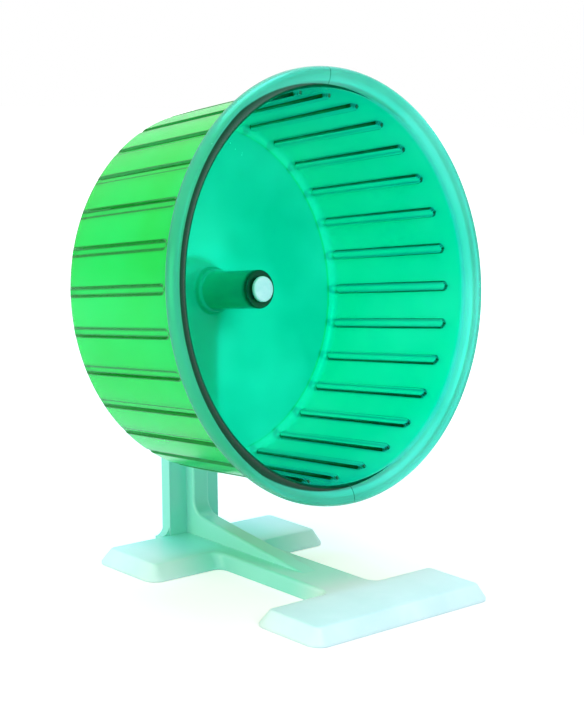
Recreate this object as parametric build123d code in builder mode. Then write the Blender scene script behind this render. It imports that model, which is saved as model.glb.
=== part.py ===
"""Rodent exercise wheel: a clear green moulded drum on a white moulded stand.

Millimetres, +Z up. The origin is on the floor, under the centre of the drum's mouth.
The mouth faces -Y and is tipped up a little, so the wheel cannot walk off its axle.
"""
import os
from math import atan, cos, radians, sin, tan

from build123d import *

os.makedirs("parts", exist_ok=True)

# Where the axle runs
AXLE_TILT = 9.0
MOUTH_HEIGHT = 101.0

# Drum: rolled lip, drafted wall and closed back
LIP_RADIUS = 70.0
LIP_ROLL_RADIUS = 3.3
LIP_TAIL = 0.9
WALL = 1.5
WALL_INNER_BACK_RADIUS = 59.6
DRUM_INNER_DEPTH = 59.3
BACK_WALL = 1.8
BACK_CORNER_RADIUS = 2.5

# Treads: raised inside, hollow outside
TREAD_COUNT = 30
TREAD_START_ANGLE = -2.9
TREAD_WIDTH = 3.4
TREAD_RAISE = 0.8
TREAD_SIDE_SLOPE = 25.0
TREAD_FRONT_DEPTH = 7.4
TREAD_BACK_GAP = 0.5
GROOVE_WIDTH = 2.6
GROOVE_DEPTH = 0.8
GROOVE_FRONT_DEPTH = 8.3
GROOVE_BACK_GAP = 0.1

# Hub tube in the middle of the back
HUB_RADIUS = 6.5
HUB_TUBE_LENGTH = 24.3
HUB_COLLAR_RADIUS = 7.9
HUB_COLLAR_LENGTH = 2.2
HUB_EDGE_ROUND = 0.5
HUB_COLLAR_EDGE_ROUND = 1.0
HUB_BACK_PAD_RADIUS = 6.2
HUB_BACK_PAD = 0.8

# Axle, its cap and the washer behind the wheel
AXLE_RADIUS = 3.5
RUNNING_CLEARANCE = 0.05
SEAT_CLEARANCE = 0.02
END_FLOAT = 0.3
AXLE_HEAD_RADIUS = 6.0
AXLE_HEAD_THICKNESS = 1.8
AXLE_HEAD_EDGE_ROUND = 0.6
SPIGOT_RADIUS = 2.3
SPIGOT_LENGTH = 1.1
SPIGOT_END_GAP = 0.1
CAP_RADIUS = 4.3
CAP_THICKNESS = 1.9
CAP_EDGE_ROUND = 0.7
WASHER_RADIUS = 6.6
WASHER_THICKNESS = 1.0

# Stand: upright post
POST_LEAN = 5.0
POST_WIDTH = 22.4
POST_THICKNESS = 4.6
POST_FLARE_RADIUS = 3.5
POST_START_HEIGHT = 1.0
POST_FLARE_TOP = 5.4
POST_EDGE_ROUND = 0.6
WEB_WIDTH = 7.0
WEB_DEPTH = 4.0
WEB_EDGE_ROUND = 0.9
BOSS_LENGTH = 7.34
BOSS_FRONT_RADIUS = 7.0
BOSS_ROOT_RADIUS = 8.6
BOSS_BACK_RADIUS = 8.0
BOSS_BACK_RAISE = 1.0

# Stand: feet and spine
FOOT_HALF_LENGTH = 40.7
REAR_FOOT_AHEAD_OF_POST = 25.4
REAR_FOOT_BEHIND_POST = 4.6
FRONT_FOOT_FRONT_Y = -40.3
FRONT_FOOT_BACK_Y = -11.9
FOOT_HEIGHT = 5.4
FOOT_LAND = 0.8
FOOT_INSET = 3.3
FOOT_CORNER_RADIUS = 5.0
FOOT_EDGE_ROUND = 1.2
SPINE_WIDTH = 21.0
SPINE_FLARE_RADIUS = 3.0

# Stand: gusset running forward from the post along the spine
GUSSET_REACH = 57.8
GUSSET_RISE = 8.2
GUSSET_BEND_RADIUS = 6.0
GUSSET_SINK = 0.6

# Stand: hollow underside, divided by ribs
FOOT_HOLLOW_INSET = 4.0
SPINE_HOLLOW_INSET = 2.2
HOLLOW_SKIN = 2.0
HOLLOW_RIB = 1.6
FOOT_CELL_COLUMNS = 5
FOOT_CELL_ROWS = 2
SPINE_CELL_COLUMNS = 2
SPINE_CELL_ROWS = 4

# Directions whose slope is less than this count as level
LEVEL = 0.1

# Sizes that follow from the ones above
TILT = radians(AXLE_TILT)
LEAN = radians(POST_LEAN)
ROLL_CENTRE_RADIUS = LIP_RADIUS - LIP_ROLL_RADIUS
WALL_INNER_FRONT_RADIUS = ROLL_CENTRE_RADIUS - LIP_ROLL_RADIUS
ROLL_INNER_RADIUS = LIP_ROLL_RADIUS - WALL
DRUM_DEPTH = DRUM_INNER_DEPTH + BACK_WALL
TREAD_BACK_DEPTH = DRUM_INNER_DEPTH - TREAD_BACK_GAP
GROOVE_BACK_DEPTH = DRUM_DEPTH - GROOVE_BACK_GAP
HUB_FRONT_DEPTH = DRUM_INNER_DEPTH - HUB_TUBE_LENGTH
OUTER_CORNER_RADIUS = BACK_CORNER_RADIUS + WALL
BORE_RADIUS = AXLE_RADIUS + RUNNING_CLEARANCE
CAP_BACK_DEPTH = HUB_FRONT_DEPTH - END_FLOAT
WASHER_FRONT_DEPTH = DRUM_DEPTH + HUB_BACK_PAD + END_FLOAT
BOSS_FRONT_DEPTH = WASHER_FRONT_DEPTH + WASHER_THICKNESS
DRAFT = atan((WALL_INNER_FRONT_RADIUS - WALL_INNER_BACK_RADIUS) / DRUM_INNER_DEPTH)

# The mouth plane looks out of the drum; depths into the drum are negative offsets from it
FORWARD = Vector(0, -cos(TILT), sin(TILT))
MOUTH_CENTRE = Vector(0, 0, MOUTH_HEIGHT)
mouth = Plane(origin=MOUTH_CENTRE, x_dir=(1, 0, 0), z_dir=FORWARD)
section = Plane(origin=MOUTH_CENTRE, x_dir=(1, 0, 0), z_dir=(0, -sin(TILT), -cos(TILT)))
axle_line = Axis(MOUTH_CENTRE, FORWARD)

# The post plane is the front face of the upright; its Y runs up the post
POST_DEPTH = BOSS_FRONT_DEPTH + BOSS_LENGTH
POST_FRONT_Y = (POST_DEPTH * cos(TILT - LEAN) - MOUTH_HEIGHT * sin(LEAN)) / cos(LEAN)
post_face = Plane(origin=(0, POST_FRONT_Y, 0), x_dir=(1, 0, 0), z_dir=(0, -cos(LEAN), sin(LEAN)))
AXLE_UP_POST = (MOUTH_HEIGHT - POST_DEPTH * sin(TILT)) / cos(LEAN)
BOSS_BACK_DEPTH = POST_DEPTH + POST_THICKNESS / cos(TILT - LEAN) + BOSS_BACK_RAISE
REAR_FOOT_FRONT_Y = POST_FRONT_Y - REAR_FOOT_AHEAD_OF_POST
REAR_FOOT_BACK_Y = POST_FRONT_Y + REAR_FOOT_BEHIND_POST
SPINE_LENGTH = REAR_FOOT_FRONT_Y - FRONT_FOOT_BACK_Y
SPINE_MIDDLE_Y = (REAR_FOOT_FRONT_Y + FRONT_FOOT_BACK_Y) / 2
SPINE_OVERLAP = FOOT_INSET + FOOT_EDGE_ROUND


def wall_inner_radius(depth):
    """Inner radius of the drafted wall at a depth behind the mouth."""
    return WALL_INNER_FRONT_RADIUS - depth * tan(DRAFT)


# One tread and one groove, in a frame whose Z is the axle and whose X is outward
def tread_plane(front_depth, back_depth, lift):
    """Plane lying along the wall, midway down a tread, with its normal pointing inward."""
    middle = (front_depth + back_depth) / 2
    radius = wall_inner_radius(middle) + lift
    return Plane(
        origin=(radius, 0, -middle),
        x_dir=(sin(DRAFT), 0, cos(DRAFT)),
        z_dir=(-cos(DRAFT), 0, sin(DRAFT)),
    )


with BuildPart() as tread:
    with BuildSketch(tread_plane(TREAD_FRONT_DEPTH, TREAD_BACK_DEPTH, 0)) as tread_outline:
        SlotOverall(TREAD_BACK_DEPTH - TREAD_FRONT_DEPTH, TREAD_WIDTH)
    extrude(amount=TREAD_RAISE, taper=TREAD_SIDE_SLOPE)
    extrude(tread_outline.sketch, amount=-WALL / 2)

with BuildPart() as groove:
    with BuildSketch(tread_plane(GROOVE_FRONT_DEPTH, GROOVE_BACK_DEPTH, WALL - GROOVE_DEPTH)):
        SlotOverall(GROOVE_BACK_DEPTH - GROOVE_FRONT_DEPTH, GROOVE_WIDTH)
    extrude(amount=-WALL)

# Drum: one moulding with lip, wall, back, hub tube and treads
with BuildPart() as wheel_drum:
    with BuildSketch(section) as drum_section:
        with BuildLine():
            tail_in = (ROLL_CENTRE_RADIUS + ROLL_INNER_RADIUS, -LIP_TAIL)
            tail_out = (LIP_RADIUS, -LIP_TAIL)
            roll_start_in = (ROLL_CENTRE_RADIUS - ROLL_INNER_RADIUS, 0)
            roll_end_in = (ROLL_CENTRE_RADIUS + ROLL_INNER_RADIUS, 0)
            roll_top_in = (ROLL_CENTRE_RADIUS, ROLL_INNER_RADIUS)
            roll_start_out = (LIP_RADIUS, 0)
            roll_end_out = (WALL_INNER_FRONT_RADIUS, 0)
            roll_top_out = (ROLL_CENTRE_RADIUS, LIP_ROLL_RADIUS)
            back_corner_in = (wall_inner_radius(DRUM_INNER_DEPTH), -DRUM_INNER_DEPTH)
            back_corner_out = (wall_inner_radius(DRUM_DEPTH) + WALL, -DRUM_DEPTH)
            ThreePointArc(roll_start_in, roll_top_in, roll_end_in)
            Polyline(roll_end_in, tail_in, tail_out, roll_start_out)
            ThreePointArc(roll_start_out, roll_top_out, roll_end_out)
            Polyline(
                roll_end_out,
                back_corner_in,
                (BORE_RADIUS, -DRUM_INNER_DEPTH),
                (BORE_RADIUS, -DRUM_DEPTH),
                back_corner_out,
                roll_start_in,
            )
        make_face()
        inner_corner = drum_section.vertices().sort_by_distance(Vector(*back_corner_in))[0]
        fillet(inner_corner, BACK_CORNER_RADIUS)
        outer_corner = drum_section.vertices().sort_by_distance(Vector(*back_corner_out))[0]
        fillet(outer_corner, OUTER_CORNER_RADIUS)
    revolve(axis=axle_line)
    with Locations(mouth.location):
        with PolarLocations(0, TREAD_COUNT, start_angle=TREAD_START_ANGLE):
            add(tread.part)
            add(groove.part, mode=Mode.SUBTRACT)
    with BuildSketch(section) as hub_section:
        with Locations((BORE_RADIUS, -DRUM_INNER_DEPTH - BACK_WALL / 2)):
            Rectangle(
                HUB_RADIUS - BORE_RADIUS,
                DRUM_INNER_DEPTH + BACK_WALL / 2 - HUB_FRONT_DEPTH,
                align=(Align.MIN, Align.MIN),
            )
            Rectangle(
                HUB_COLLAR_RADIUS - BORE_RADIUS,
                HUB_COLLAR_LENGTH + BACK_WALL / 2,
                align=(Align.MIN, Align.MIN),
            )
        with Locations((BORE_RADIUS, -DRUM_DEPTH - HUB_BACK_PAD)):
            Rectangle(
                HUB_BACK_PAD_RADIUS - BORE_RADIUS,
                HUB_BACK_PAD + BACK_WALL / 2,
                align=(Align.MIN, Align.MIN),
            )
        tube_front = Vector(HUB_RADIUS, -HUB_FRONT_DEPTH)
        collar_front = Vector(HUB_COLLAR_RADIUS, HUB_COLLAR_LENGTH - DRUM_INNER_DEPTH)
        fillet(hub_section.vertices().sort_by_distance(tube_front)[0], HUB_EDGE_ROUND)
        fillet(hub_section.vertices().sort_by_distance(collar_front)[0], HUB_COLLAR_EDGE_ROUND)
    revolve(axis=axle_line)
wheel_drum.part.label = "wheel_drum"

# Axle: a headed pin pushed in from behind the post, with a spigot for the cap
with BuildPart() as axle_pin:
    with BuildSketch(section):
        with Locations((0, -BOSS_BACK_DEPTH)):
            Rectangle(AXLE_RADIUS, BOSS_BACK_DEPTH - CAP_BACK_DEPTH, align=(Align.MIN, Align.MIN))
            Rectangle(AXLE_HEAD_RADIUS, AXLE_HEAD_THICKNESS, align=(Align.MIN, Align.MAX))
        with Locations((0, -CAP_BACK_DEPTH)):
            Rectangle(SPIGOT_RADIUS, SPIGOT_LENGTH, align=(Align.MIN, Align.MIN))
    revolve(axis=axle_line)
    head_rim = axle_pin.edges().filter_by(GeomType.CIRCLE).sort_by(axle_line)[0]
    fillet(head_rim, AXLE_HEAD_EDGE_ROUND)
axle_pin.part.label = "axle_pin"

# Cap pressed on the end of the axle, wider than the bore, so it keeps the wheel on
with BuildPart() as axle_cap:
    with BuildSketch(mouth.offset(-CAP_BACK_DEPTH)):
        Circle(CAP_RADIUS)
    extrude(amount=CAP_THICKNESS)
    cap_front = axle_cap.edges().filter_by(GeomType.CIRCLE).sort_by(axle_line)[-1]
    fillet(cap_front, CAP_EDGE_ROUND)
    with BuildSketch(mouth.offset(-CAP_BACK_DEPTH)):
        Circle(SPIGOT_RADIUS + SEAT_CLEARANCE)
    extrude(amount=SPIGOT_LENGTH + SPIGOT_END_GAP, mode=Mode.SUBTRACT)
axle_cap.part.label = "axle_cap"

# Washer between the back of the wheel and the boss on the post
with BuildPart() as rear_washer:
    with BuildSketch(mouth.offset(-WASHER_FRONT_DEPTH)):
        Circle(WASHER_RADIUS)
        Circle(BORE_RADIUS, mode=Mode.SUBTRACT)
    extrude(amount=-WASHER_THICKNESS)
rear_washer.part.label = "rear_washer"


# Stand: two tapered feet, a spine, an upright with a web, and a boss for the axle
def foot_outline(front_y, back_y, inset):
    """Rounded outline of one foot, drawn in by an inset all round."""
    with Locations((0, (front_y + back_y) / 2)):
        RectangleRounded(
            2 * (FOOT_HALF_LENGTH - inset),
            back_y - front_y - 2 * inset,
            FOOT_CORNER_RADIUS - inset,
        )


# Web: stiffens the upright and sweeps forward into a gusset along the spine
with BuildPart() as web:
    with BuildSketch(Plane.YZ) as web_side:
        with BuildLine():
            web_foot = post_face.from_local_coords((0, FOOT_HEIGHT, WEB_DEPTH))
            web_top = post_face.from_local_coords((0, AXLE_UP_POST, WEB_DEPTH))
            rise = GUSSET_RISE / GUSSET_REACH
            gusset_front_y = POST_FRONT_Y - GUSSET_REACH
            lean_run = (web_top.Y - web_foot.Y) / (web_top.Z - web_foot.Z)
            start_y = web_foot.Y - lean_run * FOOT_HEIGHT
            bend_z = (FOOT_HEIGHT + rise * (start_y - gusset_front_y)) / (1 - rise * lean_run)
            bend = (start_y + lean_run * bend_z, bend_z)
            tip_y = gusset_front_y - GUSSET_SINK / rise
            Polyline(
                (tip_y, FOOT_HEIGHT - GUSSET_SINK),
                bend,
                (web_top.Y, web_top.Z),
                (web_top.Y + WEB_DEPTH + POST_THICKNESS / 2, web_top.Z),
                (POST_FRONT_Y + POST_THICKNESS / 2, FOOT_HEIGHT - GUSSET_SINK),
                close=True,
            )
        make_face()
        bend_corner = web_side.vertices().sort_by_distance(Vector(*bend))[0]
        fillet(bend_corner, GUSSET_BEND_RADIUS)
    extrude(amount=WEB_WIDTH / 2, both=True)
    front_faces = web.faces().filter_by(lambda face: face.normal_at().Y < -LEVEL)
    sharp = [edge for edge in front_faces.edges() if abs(edge.center().X) > WEB_WIDTH / 4]
    fillet(sharp, WEB_EDGE_ROUND)

# Upright: a flat plate with a rounded top, rounded edges and a flare on each side at its foot
with BuildPart() as upright:
    with BuildSketch(post_face):
        with Locations((0, POST_START_HEIGHT)):
            Rectangle(POST_WIDTH, AXLE_UP_POST - POST_START_HEIGHT, align=(Align.CENTER, Align.MIN))
        with Locations((0, AXLE_UP_POST)):
            Circle(POST_WIDTH / 2)
    extrude(amount=-POST_THICKNESS)
    plate_faces = upright.faces().filter_by(GeomType.PLANE).sort_by(Axis.Y)
    round_edges = plate_faces[0].edges() + plate_faces[-1].edges()
    fillet(round_edges.group_by(Axis.Z)[1:], POST_EDGE_ROUND)
    with BuildSketch(post_face.offset(-POST_EDGE_ROUND)):
        with Locations((0, POST_START_HEIGHT)):
            Rectangle(
                POST_WIDTH + 2 * POST_FLARE_RADIUS,
                POST_FLARE_TOP + POST_FLARE_RADIUS - POST_START_HEIGHT,
                align=(Align.CENTER, Align.MIN),
            )
        with Locations((0, POST_FLARE_TOP + POST_FLARE_RADIUS)):
            with GridLocations(POST_WIDTH + 2 * POST_FLARE_RADIUS, 0, 2, 1):
                Circle(POST_FLARE_RADIUS, mode=Mode.SUBTRACT)
    extrude(amount=2 * POST_EDGE_ROUND - POST_THICKNESS)

feet = ((FRONT_FOOT_FRONT_Y, FRONT_FOOT_BACK_Y), (REAR_FOOT_FRONT_Y, REAR_FOOT_BACK_Y))
with BuildPart() as stand:
    for front_y, back_y in feet:
        with BuildSketch(Plane.XY.offset(FOOT_LAND)):
            foot_outline(front_y, back_y, 0)
        with BuildSketch(Plane.XY.offset(FOOT_HEIGHT)):
            foot_outline(front_y, back_y, FOOT_INSET)
        loft(ruled=True)
    with BuildSketch(Plane.XY.offset(FOOT_LAND)):
        with Locations((0, SPINE_MIDDLE_Y)):
            Rectangle(SPINE_WIDTH, SPINE_LENGTH + 2 * SPINE_OVERLAP)
    extrude(amount=FOOT_HEIGHT - FOOT_LAND)
    spine_sides = stand.faces().filter_by(Axis.X).filter_by_position(Axis.X, -SPINE_WIDTH, SPINE_WIDTH)
    corners = [edge for edge in spine_sides.edges() if abs(edge.tangent_at(0.5).Z) > LEVEL]
    fillet(corners, SPINE_FLARE_RADIUS)
    fillet(stand.faces().sort_by(Axis.Z)[-1].edges(), FOOT_EDGE_ROUND)
    extrude(stand.faces().sort_by(Axis.Z)[0], amount=FOOT_LAND)
    add(upright.part)
    add(web.part)
    with BuildSketch(section):
        with BuildLine():
            Polyline(
                (0, -BOSS_FRONT_DEPTH),
                (BOSS_FRONT_RADIUS, -BOSS_FRONT_DEPTH),
                (BOSS_ROOT_RADIUS, -POST_DEPTH - POST_THICKNESS / 2),
                (BOSS_BACK_RADIUS, -POST_DEPTH - POST_THICKNESS / 2),
                (BOSS_BACK_RADIUS, -BOSS_BACK_DEPTH),
                (0, -BOSS_BACK_DEPTH),
                close=True,
            )
        make_face()
    revolve(axis=axle_line)
    with BuildSketch(mouth.offset(-BOSS_BACK_DEPTH)):
        Circle(AXLE_RADIUS + SEAT_CLEARANCE)
    extrude(amount=BOSS_BACK_DEPTH - BOSS_FRONT_DEPTH, mode=Mode.SUBTRACT)
    with BuildSketch():
        for front_y, back_y in feet:
            cell_x = 2 * (FOOT_HALF_LENGTH - FOOT_HOLLOW_INSET) / FOOT_CELL_COLUMNS
            cell_y = (back_y - front_y - 2 * FOOT_HOLLOW_INSET) / FOOT_CELL_ROWS
            with Locations((0, (front_y + back_y) / 2)):
                with GridLocations(cell_x, cell_y, FOOT_CELL_COLUMNS, FOOT_CELL_ROWS):
                    Rectangle(cell_x - HOLLOW_RIB, cell_y - HOLLOW_RIB)
        cell_x = (SPINE_WIDTH - 2 * SPINE_HOLLOW_INSET) / SPINE_CELL_COLUMNS
        cell_y = SPINE_LENGTH / SPINE_CELL_ROWS
        with Locations((0, SPINE_MIDDLE_Y)):
            with GridLocations(cell_x, cell_y, SPINE_CELL_COLUMNS, SPINE_CELL_ROWS):
                Rectangle(cell_x - HOLLOW_RIB, cell_y - HOLLOW_RIB)
    extrude(amount=FOOT_HEIGHT - HOLLOW_SKIN, mode=Mode.SUBTRACT)
stand.part.label = "stand"

for piece in (wheel_drum, axle_pin, axle_cap, rear_washer, stand):
    export_step(piece.part, f"parts/{piece.part.label}.step")
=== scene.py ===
"""Rodent exercise wheel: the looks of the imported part, built around it in its own frame.

Sizes are named in millimetres, as in the part's source, and become metres where a mesh is made.
Places and lengths in the materials, the lamps and the camera are in metres.
"""

from math import cos, pi, radians, sin

import bmesh
import bpy
from mathutils import Matrix, Vector


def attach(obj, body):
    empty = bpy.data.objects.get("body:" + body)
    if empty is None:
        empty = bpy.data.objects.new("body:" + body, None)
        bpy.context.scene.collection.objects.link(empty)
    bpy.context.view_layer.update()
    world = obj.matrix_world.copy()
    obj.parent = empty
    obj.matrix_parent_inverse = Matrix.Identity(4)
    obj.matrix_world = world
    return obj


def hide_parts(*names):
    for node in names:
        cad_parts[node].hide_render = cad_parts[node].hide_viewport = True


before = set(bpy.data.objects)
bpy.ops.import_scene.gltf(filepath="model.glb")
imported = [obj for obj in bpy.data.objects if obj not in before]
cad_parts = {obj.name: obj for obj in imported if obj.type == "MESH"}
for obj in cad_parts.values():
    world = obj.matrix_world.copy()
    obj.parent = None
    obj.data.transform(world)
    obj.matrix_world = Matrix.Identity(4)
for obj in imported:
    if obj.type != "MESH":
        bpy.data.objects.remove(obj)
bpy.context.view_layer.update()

MM = 0.001

# Where the axle runs
AXLE_TILT = radians(9.0)
MOUTH_HEIGHT = 101.0

# Drum
LIP_RADIUS = 70.0
LIP_ROLL_RADIUS = 3.3
LIP_CREST_RADIUS = 68.2
LIP_EDGE_INSET = 0.04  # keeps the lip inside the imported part's box
LIP_TAIL = 0.9
LIP_TAIL_ROUND = 0.4
LIP_ROLL_STEPS = 15
WALL = 1.5
WALL_INNER_BACK_RADIUS = 59.6
DRUM_INNER_DEPTH = 59.3
BACK_WALL = 1.8
BACK_CORNER_RADIUS = 2.5
ROLL_CENTRE_RADIUS = LIP_RADIUS - LIP_ROLL_RADIUS
WALL_INNER_FRONT_RADIUS = ROLL_CENTRE_RADIUS - LIP_ROLL_RADIUS
DRUM_DEPTH = DRUM_INNER_DEPTH + BACK_WALL

# Treads, raised inside and hollow outside
TREAD_COUNT = 30
TREAD_START_ANGLE = radians(-2.9)
TREAD_WIDTH = 3.4
TREAD_RAISE = 1.2
TREAD_SIDE_RUN = 0.2
# TREAD_LINE and GROOVE_LINE are how wide the painted shade along a slot's side is
TREAD_LINE = 0.12
TREAD_FRONT_DEPTH = 7.4
TREAD_BACK_DEPTH = 57.6
GROOVE_WIDTH = 2.8
GROOVE_FLOOR = 0.7
GROOVE_SIDE_RUN = 0.25
GROOVE_LINE = 0.42
GROOVE_FRONT_DEPTH = 8.3
GROOVE_BACK_DEPTH = 61.0

# Hub tube
BORE_RADIUS = 3.55
BORE_EDGE_ROUND = 0.3
HUB_RADIUS = 6.5
HUB_EDGE_ROUND = 0.6
HUB_FRONT_DEPTH = 35.0
HUB_DARK_LENGTH = 1.4
HUB_DARK_FADE = 1.2
HUB_COLLAR_RADIUS = 7.9
HUB_COLLAR_LENGTH = 2.2
COLLAR_FRONT_FILLET = 0.5
COLLAR_EDGE_ROUND = 0.8
COLLAR_BACK_FILLET = 0.7
HUB_BACK_PAD_RADIUS = 6.2
HUB_BACK_PAD = 0.8
PAD_EDGE_ROUND = 0.3
PAD_BORE_EDGE = 0.2

# Where the section has more rows: along straight stretches, beside corners and at slots' ends
HUB_ROW_DEPTHS = (43, 51)
BORE_ROW_DEPTHS = (55, 47)
BACK_ROW_RADII = (18, 32, 46)
BEFORE_TREAD_DEPTHS = [5.5, 3.5, 1.6]
BEFORE_GROOVE_DEPTHS = [2.5, 5.0]
CORNER_LEAD = 0.1
INNER_CORNER_LEAD = 0.3
OUTER_CORNER_LEAD = 0.4
ROW_GAP = 0.2
SLOT_END_SHARES = (-0.25, 0.0, 0.1, 0.25, 0.45, 0.7, 1.0, 1.35)
SLOT_MIDDLE_SHARES = (0.2, 0.35, 0.5, 0.65, 0.8)

# Axle cap and washer
CAP_BACK_DEPTH = 34.7
CAP_RADIUS = 4.3
CAP_THICKNESS = 1.9
CAP_EDGE_ROUND = 0.75
CAP_EDGE_START = 0.95
CAP_BACK_EDGE = 0.25
CAP_DOME = ((0.02, 0.0), (1.4, 0.03), (2.6, 0.12))
CAP_SOCKET_RADIUS = 2.32
CAP_SOCKET_DEPTH = 1.2
NEAR_AXIS = 0.02
WASHER_FRONT_DEPTH = 62.2
WASHER_RADIUS = 6.6
WASHER_THICKNESS = 1.0
WASHER_EDGE = 0.15

# Columns round the axle: how many, and where they crowd together beside a sector's slot
SLOTTED_COLUMNS = {
    "Sectors": TREAD_COUNT,
    "Steps Per Sector": 20,
    "Start Angle": TREAD_START_ANGLE,
    "Near Share": 0.8,
    "Near Start": 0.13,
    "Near End": 0.32,
}
PLAIN_COLUMNS = {
    "Sectors": 12,
    "Steps Per Sector": 4,
    "Near Share": 0.6,
    "Near Start": 0.2,
    "Near End": 0.6,
}
CENTRE_SHARE = 0.2
LINE_FADE = 1.6
SAME_PLACE = 1e-4
SHARP_EDGE = radians(50)

# Clear green plastic: pairs are what the clouding runs between
BARE_GREEN = ((0.00, 0.70, 0.42, 1), (0.01, 0.88, 0.58, 1))
INNER_GREEN = ((0.00, 0.88, 0.95, 1), (0.03, 0.95, 1.0, 1))
OUTER_GREEN = ((0.00, 0.92, 0.07, 1), (0.00, 1.0, 0.13, 1))
LIP_GREEN = ((0.14, 0.84, 0.72, 1), (0.24, 0.92, 0.86, 1))
# Painted shade: the lip is darker on its left side
LIP_LEFT_PAINTED_SHADE = (0.0, 0.30, 0.10, 1)
LIP_LEFT_SHADE_SHARE = 0.55
# Painted shade: the dark steps beside the treads inside and the grooves outside
TREAD_STEP_SHADE = (0.0, 0.03, 0.008, 1)
GROOVE_STEP_SHADE = (0.0, 0.30, 0.01, 1)
HUB_END_GREEN = (0.0, 0.02, 0.006, 1)
HUB_END_SHARE = 0.97
# Painted shade: a near-black crescent inside the left of the lip, and where it reaches
CRESCENT_PAINTED_SHADE = (0.0, 0.006, 0.003, 1)
CRESCENT_RIGHT_X = 0.023
CRESCENT_LEFT_X = -0.040
CRESCENT_NARROWING = 0.98
PARTING_GREEN = (0.0, 0.12, 0.08, 1)
PARTING_SHARE = 0.8
PARTING_HALF_WIDTH = (0.00008, 0.00024)
GLOSS_GREEN = (0.0, 1.0, 0.5, 1.0)
DYE_GREEN = (0.0, 0.96, 0.84, 1.0)
DYE_DENSITY = 400.0
CLEAR_SHARE = 0.56

# White plastics
STAND_WHITE = ((0.70, 0.92, 0.94, 1.0), (0.80, 0.97, 1.0, 1.0))
# Painted light: the green that the drum casts on the stand
STAND_PAINTED_DRUM_LIGHT = (0.30, 0.85, 0.76, 1.0)
# White of the pin parts, with painted green light from the drum in it
PIN_WHITE_IN_DRUM_LIGHT = ((0.46, 0.90, 0.91, 1.0), (0.58, 0.97, 0.98, 1.0))
CLOUD_RANGE = (0.35, 0.65)

# Stage
FLOOR_REACH = 3.0
FLOOR_DROP = 0.0001
FLOOR_GREY = (0.8, 0.8, 0.8, 1.0)
FLOOR_GLOW_NEAR = 0.48
FLOOR_GLOW_RANGE = (0.09, 0.4)
WHITE = (1, 1, 1, 1)
WORLD_LIGHT = 0.5
LAMP_AIM = Vector((0, 0.02, 0.09))
LAMP_GLINT = 0.3

FORWARD = Vector((0, -cos(AXLE_TILT), sin(AXLE_TILT)))
UP_IN_MOUTH = Vector((0, sin(AXLE_TILT), cos(AXLE_TILT)))
TO_MOUTH = Matrix.Translation((0, 0, MOUTH_HEIGHT * MM)) @ Matrix(
    (Vector((1, 0, 0)), UP_IN_MOUTH, FORWARD)
).transposed().to_4x4()


def wall_inner(depth):
    """Inner radius of the drafted wall at a depth behind the mouth."""
    draft = WALL_INNER_FRONT_RADIUS - WALL_INNER_BACK_RADIUS
    return WALL_INNER_FRONT_RADIUS - draft * depth / DRUM_INNER_DEPTH


# Node building
class Tree:
    """Builds a node tree: adds nodes, sets their inputs by name or number, and links outputs."""

    def __init__(self, tree):
        self.tree = tree

    def add(self, kind, settings=None, **inputs):
        """Adds a node; an input is named with _ for a space, or i and its number."""
        node = self.tree.nodes.new(kind)
        for key, value in (settings or {}).items():
            setattr(node, key, value)
        for key, value in inputs.items():
            numbered = key[0] == "i" and key[1:].isdigit()
            self.put(node, int(key[1:]) if numbered else key.replace("_", " "), value)
        return node

    def put(self, node, key, value):
        """Links an output to an input, or sets the input's own value."""
        socket = node.inputs[key]
        if isinstance(value, bpy.types.NodeSocket):
            self.tree.links.new(value, socket)
        else:
            socket.default_value = value

    def math(self, operation, *values):
        node = self.tree.nodes.new("ShaderNodeMath")
        node.operation = operation
        for number, value in enumerate(values):
            self.put(node, number, value)
        return node.outputs[0]

    def span(self, value, low, high, to_low=0.0, to_high=1.0, smooth=False):
        """Maps low..high to to_low..to_high, held at both ends."""
        node = self.tree.nodes.new("ShaderNodeMapRange")
        node.interpolation_type = "SMOOTHSTEP" if smooth else "LINEAR"
        for number, item in enumerate((value, low, high, to_low, to_high)):
            self.put(node, number, item)
        return node.outputs[0]

    def blend(self, share, low, high):
        """Mixes two colours."""
        mix = self.add("ShaderNodeMix", {"data_type": "RGBA"}, i0=share, i6=low, i7=high)
        return mix.outputs[2]

    def stored(self, name):
        """Reads a number that the mesh carries on its vertices."""
        return self.add("ShaderNodeAttribute", {"attribute_name": name}).outputs["Fac"]

    def noise(self, place, scale, detail, roughness=0.5):
        return self.add(
            "ShaderNodeTexNoise", Vector=place, Scale=scale, Detail=detail, Roughness=roughness
        ).outputs["Fac"]

    def object_place(self):
        return self.add("ShaderNodeTexCoord").outputs["Object"]


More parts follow.
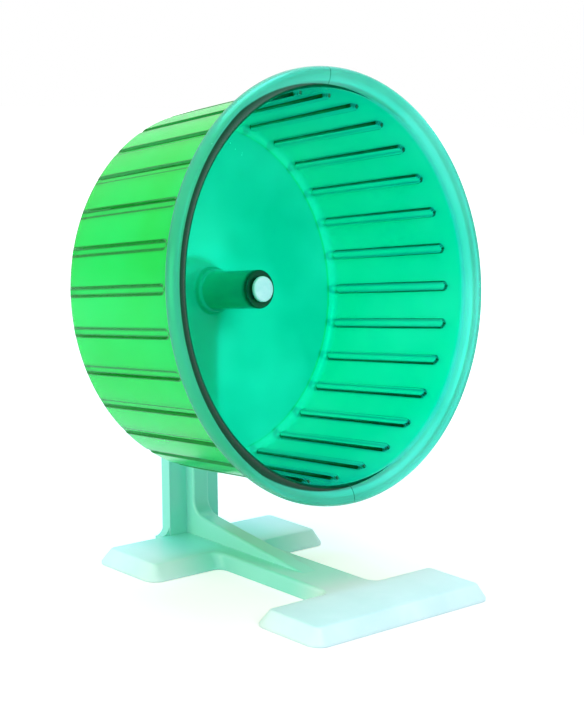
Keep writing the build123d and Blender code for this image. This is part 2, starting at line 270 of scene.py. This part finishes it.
def turned_moulding_tree():
    """Sweeps the section round the axle, and presses a slot in each sector where it has one."""
    group = bpy.data.node_groups.new("turned_moulding", "GeometryNodeTree")
    face = group.interface
    sockets = {}
    for name, kind in (
        ("Section", "NodeSocketGeometry"),
        ("Sectors", "NodeSocketInt"),
        ("Steps Per Sector", "NodeSocketInt"),
        ("Start Angle", "NodeSocketFloat"),
        ("Near Share", "NodeSocketFloat"),
        ("Near Start", "NodeSocketFloat"),
        ("Near End", "NodeSocketFloat"),
        ("Finish", "NodeSocketMaterial"),
    ):
        socket = face.new_socket(name=name, in_out="INPUT", socket_type=kind)
        sockets[name] = socket.identifier
    face.new_socket(name="Moulding", in_out="OUTPUT", socket_type="NodeSocketGeometry")
    t = Tree(group)
    given = group.nodes.new("NodeGroupInput").outputs
    section = given["Section"]
    near_share, near_start, near_end = given["Near Share"], given["Near Start"], given["Near End"]

    # One grid vertex for each row of the section at each column; the last ones close it up
    rows = t.add("GeometryNodeAttributeDomainSize", Geometry=section).outputs["Point Count"]
    columns = t.math("MULTIPLY", given["Sectors"], given["Steps Per Sector"])
    row_length = t.math("ADD", rows, 1.0)
    grid = t.add(
        "GeometryNodeMeshGrid", Vertices_X=t.math("ADD", columns, 1.0), Vertices_Y=row_length
    ).outputs["Mesh"]
    index = t.add("GeometryNodeInputIndex").outputs[0]
    column = t.math("FLOOR", t.math("DIVIDE", t.math("ADD", index, 0.5), row_length))
    in_column = t.math("SUBTRACT", index, t.math("MULTIPLY", column, row_length))
    row = t.math("MODULO", in_column, rows)

    # Angle of each column: the steps are close together beside the middle of a sector's slot
    steps = given["Steps Per Sector"]
    sector = t.math("FLOOR", t.math("DIVIDE", t.math("ADD", column, 0.25), steps))
    share = t.math("SUBTRACT", t.math("DIVIDE", column, steps), sector)
    across = t.math("SUBTRACT", t.math("MULTIPLY", share, 2.0), 1.0)
    reach = t.math("ABSOLUTE", across)
    inner = t.span(reach, 0.0, CENTRE_SHARE, 0.0, near_start)
    near = t.math("SUBTRACT", near_end, near_start)
    middle = t.span(reach, CENTRE_SHARE, near_share, 0.0, near)
    outer = t.span(reach, near_share, 1.0, 0.0, t.math("SUBTRACT", 1.0, near_end))
    spread = t.math("ADD", t.math("ADD", inner, middle), outer)
    placed = t.math("MULTIPLY", t.math("SIGN", across), spread)
    pitch = t.math("DIVIDE", 2 * pi, given["Sectors"])
    off_centre = t.math("MULTIPLY", t.math("MULTIPLY", placed, 0.5), pitch)
    turned = t.math("ADD", t.math("MULTIPLY", sector, pitch), off_centre)
    angle = t.math("ADD", turned, given["Start Angle"])

    def along(name):
        """A number of the section's row that a vertex is on."""
        value = t.add(
            "GeometryNodeInputNamedAttribute", {"data_type": "FLOAT"}, Name=name
        ).outputs["Attribute"]
        return t.add(
            "GeometryNodeSampleIndex",
            {"data_type": "FLOAT"},
            Geometry=section,
            Value=value,
            Index=row,
        ).outputs[0]

    radius, depth = along("radius"), along("depth")
    front, back = along("slot_front"), along("slot_back")
    half_width = t.math("MULTIPLY", along("slot_width"), 0.5)
    side_run = along("slot_side_run")

    # How far inside the rounded slot each vertex lies, and how far it is pressed to the floor
    centre = t.math("MULTIPLY", t.math("ADD", front, back), 0.5)
    half_length = t.math("MULTIPLY", t.math("SUBTRACT", back, front), 0.5)
    straight = t.math("SUBTRACT", half_length, half_width)
    from_centre = t.math("ABSOLUTE", t.math("SUBTRACT", depth, centre))
    past = t.math("MAXIMUM", t.math("SUBTRACT", from_centre, straight), 0.0)
    sideways = t.math("MULTIPLY", radius, t.math("SINE", off_centre))
    squares = t.math(
        "ADD", t.math("MULTIPLY", past, past), t.math("MULTIPLY", sideways, sideways)
    )
    distance = t.math("SQRT", squares)
    inside = t.math("SUBTRACT", half_width, distance)
    pressed = t.span(inside, 0.0, side_run, smooth=True)
    floor = t.math("MINIMUM", radius, along("slot_floor"))
    sunk = t.math("MULTIPLY", pressed, t.math("SUBTRACT", floor, radius))
    shaped = t.math("ADD", radius, sunk)

    x = t.math("MULTIPLY", shaped, t.math("COSINE", angle))
    y = t.math("MULTIPLY", shaped, t.math("SINE", angle))
    z = t.math("MULTIPLY", depth, -1.0)
    place = t.add("ShaderNodeCombineXYZ", X=x, Y=y, Z=z).outputs[0]
    swept = t.add("GeometryNodeSetPosition", Geometry=grid, Position=place).outputs[0]

    # What the finish reads: the line of painted shade along the slot's side, and the row's own
    # numbers
    mid_side = t.math("SUBTRACT", half_width, t.math("MULTIPLY", side_run, 0.5))
    off_side = t.math("ABSOLUTE", t.math("SUBTRACT", distance, mid_side))
    line = along("slot_line")
    band = t.span(off_side, line, t.math("MULTIPLY", line, LINE_FADE), 1.0, 0.0)
    has_slot = t.span(half_width, 0.0, 0.1)
    edge = t.math("MULTIPLY", band, has_slot)
    carried = [(name, along(name)) for name in ("skin", "rim", "roll_inside", "dark")]
    for name, value in [("slot_step_shade", edge)] + carried:
        swept = t.add(
            "GeometryNodeStoreNamedAttribute",
            {"data_type": "FLOAT", "domain": "POINT"},
            Geometry=swept,
            Name=name,
            Value=value,
        ).outputs[0]
    closed = t.add("GeometryNodeMergeByDistance", Geometry=swept, Distance=SAME_PLACE).outputs[0]
    smooth = t.add("GeometryNodeSetShadeSmooth", Geometry=closed, Shade_Smooth=True).outputs[0]
    real = t.add("GeometryNodeRealizeInstances", Geometry=smooth).outputs[0]
    painted = t.add("GeometryNodeSetMaterial", Geometry=real, Material=given["Finish"]).outputs[0]
    made = group.nodes.new("NodeGroupOutput")
    group.links.new(painted, made.inputs[0])
    return group, sockets


ROW_NUMBERS = (
    "radius",
    "depth",
    "slot_front",
    "slot_back",
    "slot_width",
    "slot_side_run",
    "slot_floor",
    "slot_line",
    "skin",
    "rim",
    "roll_inside",
    "dark",
)
TURNED, TURNED_INPUTS = turned_moulding_tree()


def turned_piece(name, rows, finish, columns):
    """Makes one closed moulding from its section rows by the turned moulding tree."""
    line = bpy.data.meshes.new(name + "_section")
    line.from_pydata([(r["radius"], -r["depth"], 0) for r in rows], [], [])
    for key in ROW_NUMBERS:
        layer = line.attributes.new(key, "FLOAT", "POINT")
        layer.data.foreach_set("value", [r.get(key, 0.0) for r in rows])
    carrier = bpy.data.objects.new(name + "_carrier", line)
    bpy.context.scene.collection.objects.link(carrier)
    turning = carrier.modifiers.new("turning", "NODES")
    turning.node_group = TURNED
    for key, value in {"Finish": finish, **columns}.items():
        turning[TURNED_INPUTS[key]] = value
    bpy.context.view_layer.update()
    graph = bpy.context.evaluated_depsgraph_get()
    mesh = bpy.data.meshes.new_from_object(
        carrier.evaluated_get(graph), preserve_all_data_layers=True, depsgraph=graph
    )
    bpy.data.objects.remove(carrier)
    mesh.transform(Matrix.Scale(MM, 4))
    mesh.transform(TO_MOUTH)
    shell = bmesh.new()
    shell.from_mesh(mesh)
    bmesh.ops.dissolve_degenerate(shell, dist=1e-8, edges=shell.edges)
    bmesh.ops.recalc_face_normals(shell, faces=shell.faces)
    shell.to_mesh(mesh)
    shell.free()
    mesh.name = name
    mesh.set_sharp_from_angle(angle=SHARP_EDGE)
    piece = bpy.data.objects.new(name, mesh)
    bpy.context.scene.collection.objects.link(piece)
    return piece


# Sections, as rows of radius and depth
def arc(centre_radius, centre_depth, size, start, end, steps, height=None):
    """Points round a corner of a section; angle 0 points outward and 90 towards the mouth."""
    points = []
    for step in range(steps + 1):
        turn = radians(start + (end - start) * step / steps)
        points.append(
            (centre_radius + size * cos(turn), centre_depth - (height or size) * sin(turn))
        )
    return points


def slot_depths(front, back, width):
    """Depths down a wall, close together at a slot's rounded ends."""
    half = width / 2
    middle = [front + (back - front) * share for share in SLOT_MIDDLE_SHARES]
    front_end = [front + half * share for share in SLOT_END_SHARES]
    back_end = [back - half * share for share in reversed(SLOT_END_SHARES)]
    return front_end + middle + back_end


def drum_rows():
    """The drum's closed section, from the hub tube's front out to the lip and back to the bore."""
    rows = []

    def put(points, **numbers):
        rows.extend({"radius": r, "depth": d, **numbers} for r, d in points)

    # Hub tube: a dark end, then the collar at the back
    edge = BORE_EDGE_ROUND
    put([(BORE_RADIUS, HUB_FRONT_DEPTH + edge)], dark=1.0)
    put(arc(BORE_RADIUS + edge, HUB_FRONT_DEPTH + edge, edge, 150, 90, 2), dark=1.0)
    edge = HUB_EDGE_ROUND
    put(arc(HUB_RADIUS - edge, HUB_FRONT_DEPTH + edge, edge, 90, 0, 5), dark=1.0)
    put([(HUB_RADIUS, HUB_FRONT_DEPTH + HUB_DARK_LENGTH)], dark=0.6)
    put([(HUB_RADIUS, HUB_FRONT_DEPTH + HUB_DARK_LENGTH + HUB_DARK_FADE)])
    put([(HUB_RADIUS, depth) for depth in HUB_ROW_DEPTHS])
    collar_front = DRUM_INNER_DEPTH - HUB_COLLAR_LENGTH
    edge = COLLAR_FRONT_FILLET
    put(arc(HUB_RADIUS + edge, collar_front - edge, edge, 180, 270, 4))
    edge = COLLAR_EDGE_ROUND
    put(arc(HUB_COLLAR_RADIUS - edge, collar_front + edge, edge, 90, 0, 4))
    edge = COLLAR_BACK_FILLET
    put(arc(HUB_COLLAR_RADIUS + edge, DRUM_INNER_DEPTH - edge, edge, 180, 270, 4))

    # Inside of the back and of the wall, with the treads
    put([(radius, DRUM_INNER_DEPTH) for radius in BACK_ROW_RADII])
    corner = BACK_CORNER_RADIUS
    back_radius = wall_inner(DRUM_INNER_DEPTH) - corner
    put([(back_radius - INNER_CORNER_LEAD, DRUM_INNER_DEPTH)])
    inside = dict(
        skin=1.0,
        slot_front=TREAD_FRONT_DEPTH,
        slot_back=TREAD_BACK_DEPTH,
        slot_width=TREAD_WIDTH,
        slot_side_run=TREAD_SIDE_RUN,
        slot_line=TREAD_LINE,
    )
    corner_depth = DRUM_INNER_DEPTH - corner
    tread_line = arc(back_radius + CORNER_LEAD, corner_depth, corner, -90, -3, 12)
    ends = slot_depths(TREAD_FRONT_DEPTH, TREAD_BACK_DEPTH, TREAD_WIDTH)
    last = tread_line[-1][1] - ROW_GAP
    down_wall = sorted(ends + BEFORE_TREAD_DEPTHS, reverse=True)
    tread_line += [(wall_inner(d), d) for d in down_wall if d < last]
    for r, d in tread_line:
        put([(r, d)], slot_floor=wall_inner(d) - TREAD_RAISE, **inside)

    # Rolled lip, its tail and the hollow behind it
    inner_sweep = LIP_CREST_RADIUS - WALL_INNER_FRONT_RADIUS
    outer_sweep = LIP_RADIUS - LIP_CREST_RADIUS - LIP_EDGE_INSET
    rise = arc(LIP_CREST_RADIUS, 0, inner_sweep, 180, 92, LIP_ROLL_STEPS, LIP_ROLL_RADIUS)
    for step, point in enumerate(rise):
        put([point], rim=1.0, roll_inside=1.0 - step / LIP_ROLL_STEPS)
    put(arc(LIP_CREST_RADIUS, 0, outer_sweep, 86, 0, 10, LIP_ROLL_RADIUS), rim=1.0)
    edge = LIP_TAIL_ROUND
    tail = LIP_TAIL - edge
    put(arc(LIP_RADIUS - LIP_EDGE_INSET - edge, tail, edge, 0, -90, 3), rim=1.0)
    hollow = LIP_ROLL_RADIUS - WALL
    put(arc(ROLL_CENTRE_RADIUS + hollow + edge, tail, edge, -90, -180, 3))
    put(arc(ROLL_CENTRE_RADIUS, 0, hollow, 0, 180, 14))

    # Outside of the wall and of the back, with the grooves
    outside = dict(
        skin=2.0,
        slot_front=GROOVE_FRONT_DEPTH,
        slot_back=GROOVE_BACK_DEPTH,
        slot_width=GROOVE_WIDTH,
        slot_side_run=GROOVE_SIDE_RUN,
        slot_line=GROOVE_LINE,
    )
    corner = BACK_CORNER_RADIUS + WALL
    back_radius = wall_inner(DRUM_DEPTH) + WALL - corner
    outer_corner = arc(back_radius + CORNER_LEAD, DRUM_DEPTH - corner, corner, -3, -90, 16)
    ends = slot_depths(GROOVE_FRONT_DEPTH, GROOVE_BACK_DEPTH, GROOVE_WIDTH)
    last = outer_corner[0][1] - ROW_GAP
    down_wall = sorted(ends + BEFORE_GROOVE_DEPTHS)
    groove_line = [(wall_inner(d) + WALL, d) for d in down_wall if d < last]
    for r, d in groove_line + outer_corner:
        put([(r, d)], slot_floor=wall_inner(d) + GROOVE_FLOOR, **outside)
    put([(outer_corner[-1][0] - OUTER_CORNER_LEAD, DRUM_DEPTH)])
    put([(radius, DRUM_DEPTH) for radius in reversed(BACK_ROW_RADII)])

    # Pad round the bore, and the bore
    edge = PAD_EDGE_ROUND
    pad_back = DRUM_DEPTH + HUB_BACK_PAD
    put([(HUB_BACK_PAD_RADIUS + edge, DRUM_DEPTH), (HUB_BACK_PAD_RADIUS, DRUM_DEPTH + edge)])
    put(arc(HUB_BACK_PAD_RADIUS - edge, pad_back - edge, edge, 0, -90, 3))
    put([(BORE_RADIUS + PAD_BORE_EDGE, pad_back), (BORE_RADIUS, pad_back - PAD_BORE_EDGE)])
    put([(BORE_RADIUS, depth) for depth in BORE_ROW_DEPTHS])
    return rows


def plain_rows(points):
    return [{"radius": r, "depth": d} for r, d in points]


def cap_rows():
    """The axle cap's closed section: a shallow dome with a soft edge and a socket behind."""
    front = CAP_BACK_DEPTH - CAP_THICKNESS
    edge = CAP_EDGE_ROUND
    socket_end = CAP_BACK_DEPTH - CAP_SOCKET_DEPTH
    points = [(radius, front + fall) for radius, fall in CAP_DOME]
    points += arc(CAP_RADIUS - edge, front + CAP_EDGE_START, edge, 72, 0, 6)
    points += [(CAP_RADIUS, CAP_BACK_DEPTH - CAP_BACK_EDGE)]
    points += [(CAP_RADIUS - CAP_BACK_EDGE, CAP_BACK_DEPTH)]
    points += [(CAP_SOCKET_RADIUS, CAP_BACK_DEPTH), (CAP_SOCKET_RADIUS, socket_end)]
    points += [(NEAR_AXIS, socket_end)]
    return plain_rows(points)


def washer_rows():
    """The washer's closed section, with broken edges."""
    front, back = WASHER_FRONT_DEPTH, WASHER_FRONT_DEPTH + WASHER_THICKNESS
    edge = WASHER_EDGE
    points = [(BORE_RADIUS + edge, front), (WASHER_RADIUS - edge, front)]
    points += [(WASHER_RADIUS, front + edge), (WASHER_RADIUS, back - edge)]
    points += [(WASHER_RADIUS - edge, back), (BORE_RADIUS + edge, back)]
    points += [(BORE_RADIUS, back - edge), (BORE_RADIUS, front + edge)]
    return plain_rows(points)


# Finishes
def new_finish(name):
    """An empty material with its output, ready for nodes."""
    material = bpy.data.materials.new(name)
    material.use_nodes = True
    material.node_tree.nodes.clear()
    t = Tree(material.node_tree)
    return material, t, t.add("ShaderNodeOutputMaterial")


def clear_green_plastic():
    """Tinted polystyrene: part clear, part cloudy, greener outside, with painted shade along the
    treads' steps.

    The dark crescent inside the left of the lip and the darker left of the lip are painted shade,
    coloured by their place on the drum.
    """
    material, t, out = new_finish("clear_green_plastic")
    place = t.object_place()
    flow = t.noise(place, scale=28.0, detail=2.0)
    scuffs = t.noise(place, scale=420.0, detail=3.0, roughness=0.6)
    cloud = t.span(flow, *CLOUD_RANGE)
    across = t.add("ShaderNodeSeparateXYZ", Vector=place).outputs["X"]
    skin, rim, roll_inside = t.stored("skin"), t.stored("rim"), t.stored("roll_inside")
    is_outside = t.span(skin, 1.0, 2.0)
    left_side_shade = t.span(across, CRESCENT_RIGHT_X, CRESCENT_LEFT_X)

    bare, inner = t.blend(cloud, *BARE_GREEN), t.blend(cloud, *INNER_GREEN)
    colour = t.blend(t.span(skin, 0.0, 1.0), bare, inner)
    colour = t.blend(is_outside, colour, t.blend(cloud, *OUTER_GREEN))
    # Painted shade: the lip darkened towards its left side, by place on the drum
    lip_left_shade = t.math("MULTIPLY", left_side_shade, LIP_LEFT_SHADE_SHARE)
    colour = t.blend(rim, colour, t.blend(lip_left_shade, t.blend(cloud, *LIP_GREEN), LIP_LEFT_PAINTED_SHADE))
    # Painted shade along the sides of the treads and the grooves
    step = t.blend(is_outside, TREAD_STEP_SHADE, GROOVE_STEP_SHADE)
    colour = t.blend(t.stored("slot_step_shade"), colour, step)
    hub_end = t.math("MULTIPLY", t.stored("dark"), HUB_END_SHARE)
    colour = t.blend(hub_end, colour, HUB_END_GREEN)

    # Painted shade: the dark crescent on the inner half of the lip's roll, at the left
    crescent_reach = t.math("SUBTRACT", t.math("ADD", left_side_shade, roll_inside), CRESCENT_NARROWING)
    crescent_shade = t.math("MULTIPLY", t.span(crescent_reach, 0.0, 0.06), t.span(roll_inside, 0.0, 0.04))
    colour = t.blend(crescent_shade, colour, CRESCENT_PAINTED_SHADE)
    parting = t.span(t.math("ABSOLUTE", across), *PARTING_HALF_WIDTH, PARTING_SHARE, 0.0)
    colour = t.blend(t.math("MULTIPLY", parting, rim), colour, PARTING_GREEN)

    smoothness = t.span(flow, 0.3, 0.7, 0.19, 0.25)
    scuffed = t.span(scuffs, 0.55, 0.8, 0.0, 0.04)
    ripple = t.add("ShaderNodeBump", Strength=0.12, Distance=0.0006, Height=flow).outputs[0]
    body = t.add(
        "ShaderNodeBsdfPrincipled",
        Base_Color=colour,
        Roughness=t.math("ADD", smoothness, scuffed),
        IOR=1.5,
        Transmission_Weight=CLEAR_SHARE,
        Specular_Tint=GLOSS_GREEN,
        Normal=ripple,
    )
    dye = t.add("ShaderNodeVolumeAbsorption", Color=DYE_GREEN, Density=DYE_DENSITY)
    t.put(out, "Surface", body.outputs[0])
    t.put(out, "Volume", dye.outputs[0])
    return material


def milky_white_plastic():
    """Milky polypropylene of the stand, slightly waxy, with painted green light from the drum
    where the drum is near.
    """
    material, t, out = new_finish("milky_white_plastic")
    place = t.object_place()
    cloud = t.noise(place, scale=45.0, detail=3.0, roughness=0.55)
    grain = t.noise(place, scale=2200.0, detail=2.0)
    tone = t.blend(t.span(cloud, *CLOUD_RANGE), *STAND_WHITE)
    parts = t.add("ShaderNodeSeparateXYZ", Vector=place).outputs
    # Painted light: drum's green on the stand behind the mouth, near the middle or above the feet
    side = t.math("ABSOLUTE", parts["X"])
    near_middle = t.span(side, 0.011, 0.034, 1.0, 0.12, smooth=True)
    above_feet = t.span(parts["Z"], 0.006, 0.010)
    behind_mouth = t.span(parts["Y"], -0.018, 0.004, smooth=True)
    painted_drum_light = t.math("MULTIPLY", behind_mouth, t.math("MAXIMUM", near_middle, above_feet))
    soft_edges = t.add("ShaderNodeBevel", {"samples": 6}, Radius=0.0005).outputs[0]
    skin = t.add(
        "ShaderNodeBump", Strength=0.1, Distance=0.0001, Height=grain, Normal=soft_edges
    ).outputs[0]
    body = t.add(
        "ShaderNodeBsdfPrincipled",
        Base_Color=t.blend(painted_drum_light, tone, STAND_PAINTED_DRUM_LIGHT),
        Roughness=t.span(cloud, 0.3, 0.7, 0.28, 0.4),
        IOR=1.49,
        Normal=skin,
    )
    t.put(out, "Surface", body.outputs[0])
    return material


def white_pin_plastic():
    """Plain white acetal of the axle, its cap and the washer, with the drum's green light painted
    into its colour.
    """
    material, t, out = new_finish("white_pin_plastic")
    cloud = t.noise(t.object_place(), scale=320.0, detail=3.0)
    skin = t.add("ShaderNodeBump", Strength=0.15, Distance=0.0001, Height=cloud).outputs[0]
    body = t.add(
        "ShaderNodeBsdfPrincipled",
        # Real white tone, tinted with painted green light from the drum
        Base_Color=t.blend(t.span(cloud, *CLOUD_RANGE), *PIN_WHITE_IN_DRUM_LIGHT),
        Roughness=t.span(cloud, 0.3, 0.7, 0.3, 0.45),
        IOR=1.48,
        Normal=skin,
    )
    t.put(out, "Surface", body.outputs[0])
    return material


# Pieces
green = clear_green_plastic()
drum = turned_piece("drum_moulding", drum_rows(), green, SLOTTED_COLUMNS)
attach(drum, "wheel")
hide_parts("wheel_drum")

pin_white = white_pin_plastic()
cap = turned_piece("axle_end_cap", cap_rows(), pin_white, PLAIN_COLUMNS)
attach(cap, "stand")
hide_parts("axle_cap")

washer = turned_piece("washer_behind_drum", washer_rows(), pin_white, PLAIN_COLUMNS)
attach(washer, "stand")
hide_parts("rear_washer")

for node, finish in (("stand", milky_white_plastic()), ("axle_pin", pin_white)):
    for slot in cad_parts[node].material_slots:
        slot.material = finish


# Stage
def white_floor():
    """Pale floor that stays white to the eye and in the plastic, and keeps the object's shadow."""
    material, t, out = new_finish("stage_floor")
    ray = t.add("ShaderNodeLightPath").outputs
    seen = t.math("MAXIMUM", ray["Is Camera Ray"], ray["Is Glossy Ray"])
    seen = t.math("MAXIMUM", seen, ray["Is Transmission Ray"])
    away = t.add("ShaderNodeVectorMath", {"operation": "LENGTH"}, i0=t.object_place())
    matt = t.add("ShaderNodeBsdfDiffuse", Color=FLOOR_GREY).outputs[0]
    glow_far = t.span(away.outputs["Value"], *FLOOR_GLOW_RANGE, FLOOR_GLOW_NEAR, 1.0, smooth=True)
    strength = t.math("MULTIPLY", seen, glow_far)
    glow = t.add("ShaderNodeEmission", Color=WHITE, Strength=strength).outputs[0]
    t.put(out, "Surface", t.add("ShaderNodeAddShader", i0=matt, i1=glow).outputs[0])
    return material


def stage_floor():
    """A broad floor under the stand."""
    mesh = bpy.data.meshes.new("stage_floor")
    reach = FLOOR_REACH
    corners = [(-reach, -reach, 0), (reach, -reach, 0), (reach, reach, 0), (-reach, reach, 0)]
    mesh.from_pydata(corners, [], [(0, 1, 2, 3)])
    mesh.materials.append(white_floor())
    floor = bpy.data.objects.new("stage_floor", mesh)
    floor.location.z = -FLOOR_DROP
    bpy.context.scene.collection.objects.link(floor)


def white_world():
    """Even studio surround: white where it is seen, plainer where it lights."""
    world = bpy.data.worlds.new("studio")
    world.use_nodes = True
    world.node_tree.nodes.clear()
    t = Tree(world.node_tree)
    ray = t.add("ShaderNodeLightPath").outputs
    seen = t.math("MAXIMUM", ray["Is Camera Ray"], ray["Is Transmission Ray"])
    seen = t.math("MAXIMUM", seen, ray["Is Glossy Ray"])
    strength = t.math("ADD", t.math("MULTIPLY", seen, 1.0 - WORLD_LIGHT), WORLD_LIGHT)
    back = t.add("ShaderNodeBackground", Color=WHITE, Strength=strength)
    t.add("ShaderNodeOutputWorld", Surface=back.outputs[0])
    bpy.context.scene.world = world


def soft_lamp(name, place, size, watts, colour):
    """One square soft lamp that looks at the wheel."""
    data = bpy.data.lights.new(name, "AREA")
    data.shape = "SQUARE"
    data.size = size
    data.energy = watts
    data.color = colour
    data.specular_factor = LAMP_GLINT
    lamp = bpy.data.objects.new(name, data)
    lamp.location = place
    lamp.rotation_mode = "QUATERNION"
    lamp.rotation_quaternion = (LAMP_AIM - Vector(place)).to_track_quat("-Z", "Y")
    bpy.context.scene.collection.objects.link(lamp)


stage_floor()
white_world()
soft_lamp("key_lamp", place=(-0.3, -0.8, 0.6), size=0.5, watts=4.0, colour=(1.0, 1.0, 1.0))
soft_lamp("left_lamp", place=(-0.9, 0.2, 0.15), size=0.5, watts=3.5, colour=(1.0, 1.0, 0.62))
soft_lamp("sky_lamp", place=(0.1, 0.25, 1.0), size=0.6, watts=8.0, colour=(0.30, 0.78, 1.0))

# Camera at the photograph's place, with the photograph's slight roll
IMAGE_HEIGHT = 701
FOCAL_PIXELS = 1725.14
SENSOR_HEIGHT = 36.0
eye = Vector((-0.392571, -0.378762, 0.175992))
right = Vector((0.716392, -0.695787, 0.051578))
up = Vector((0.084889, 0.160299, 0.983415))
look = Vector((0.692510, 0.700137, -0.173900))
lens = bpy.data.cameras.new("photo_camera")
lens.sensor_fit = "VERTICAL"
lens.sensor_width = lens.sensor_height = SENSOR_HEIGHT
lens.lens = FOCAL_PIXELS / IMAGE_HEIGHT * SENSOR_HEIGHT
camera = bpy.data.objects.new("photo_camera", lens)
camera.matrix_world = Matrix.Translation(eye) @ Matrix((right, up, -look)).transposed().to_4x4()
bpy.context.scene.collection.objects.link(camera)
bpy.context.scene.camera = camera
bpy.context.scene.view_settings.view_transform = "Standard"
